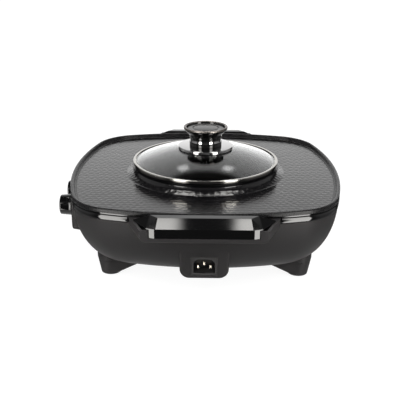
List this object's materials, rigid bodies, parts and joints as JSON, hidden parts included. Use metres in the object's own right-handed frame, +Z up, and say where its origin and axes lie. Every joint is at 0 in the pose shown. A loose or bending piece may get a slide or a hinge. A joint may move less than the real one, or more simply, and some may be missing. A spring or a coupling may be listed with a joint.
{
  "type": "hot pot grill combo",
  "caption": "Countertop electric griddle with a round hot pot sunk in its middle, a domed glass lid, control knobs on the side, handles front and rear, and a power inlet.",
  "frame": {"origin": "middle of the appliance's footprint (its box seen from above, control knobs included), on the surface that it stands on", "axes": "+Z up; -Y towards the front, where the power inlet is, so +Y runs front to back from handle to handle; +X towards the right, away from the control knobs. The pot's axis stands at x = 0.0086 m."},
  "size_m": [0.3572, 0.398, 0.1586],
  "materials": {
    "matte_black_plastic": "moulded, fine matte",
    "gloss_black_plastic": "moulded, high gloss",
    "coated_aluminium": "dark non-stick coating on cast aluminium",
    "polished_steel": "polished",
    "plain_steel": "plated",
    "element_sheath": "dull heat-tinted",
    "shield_sheet": "bright rolled sheet",
    "ceramic": "unglazed",
    "brass": "plain",
    "lens_red": "clear red",
    "black_rubber": "matte",
    "clear_glass": "clear, polished",
    "white_silicone": "matte",
    "satin_grey_cap": "satin, dark"
  },
  "bodies": {
    "base": {"lower_shell": "matte_black_plastic", "upper_frame": "gloss_black_plastic", "front_handle": "gloss_black_plastic", "rear_handle": "gloss_black_plastic", "front_handle_screw_left": "plain_steel", "front_handle_screw_right": "plain_steel", "rear_handle_screw_left": "plain_steel", "rear_handle_screw_right": "plain_steel", "grill_plate": "coated_aluminium", "plate_spacer_front_left": "ceramic", "plate_spacer_front_right": "ceramic", "plate_spacer_rear_right": "ceramic", "plate_spacer_rear_left": "ceramic", "plate_screw_front_left": "plain_steel", "plate_screw_front_right": "plain_steel", "plate_screw_rear_right": "plain_steel", "plate_screw_rear_left": "plain_steel", "plate_heater": "element_sheath", "pot_heater": "element_sheath", "heat_shield": "shield_sheet", "thermal_fuse": "ceramic", "terminal_block": "ceramic", "thermostat_front": "ceramic", "thermostat_rear": "ceramic", "pilot_lens_front": "lens_red", "pilot_lens_rear": "lens_red", "inlet_socket": "matte_black_plastic", "inlet_pin_live": "brass", "inlet_pin_neutral": "brass", "inlet_pin_earth": "brass", "foot_front_left": "matte_black_plastic", "foot_front_right": "matte_black_plastic", "foot_rear_right": "matte_black_plastic", "foot_rear_left": "matte_black_plastic", "foot_screw_front_left": "plain_steel", "foot_screw_front_right": "plain_steel", "foot_screw_rear_right": "plain_steel", "foot_screw_rear_left": "plain_steel", "foot_pad_front_left": "black_rubber", "foot_pad_front_right": "black_rubber", "foot_pad_rear_right": "black_rubber", "foot_pad_rear_left": "black_rubber"},
    "lid": {"lid_rim": "polished_steel", "lid_glass": "clear_glass", "lid_disc": "polished_steel", "lid_knob": "gloss_black_plastic", "lid_knob_cap": "satin_grey_cap", "lid_gasket": "white_silicone", "lid_washer": "plain_steel", "lid_screw": "plain_steel"},
    "front_knob": {"control_knob_front": "gloss_black_plastic", "spindle_front": "plain_steel"},
    "rear_knob": {"control_knob_rear": "gloss_black_plastic", "spindle_rear": "plain_steel"}
  },
  "joints": [
    {"name": "lid_lift", "type": "slide", "parent": "base", "child": "lid", "axis": [0, 0, 1], "range_m": [0, 0.12]},
    {"name": "front_knob_turn", "type": "hinge", "parent": "base", "child": "front_knob", "pos_m": [-0.1614, -0.028, 0.0602], "axis": [1, 0, 0], "range_deg": [0, 270]},
    {"name": "rear_knob_turn", "type": "hinge", "parent": "base", "child": "rear_knob", "pos_m": [-0.1614, 0.028, 0.0602], "axis": [1, 0, 0], "range_deg": [0, 270]}
  ]
}
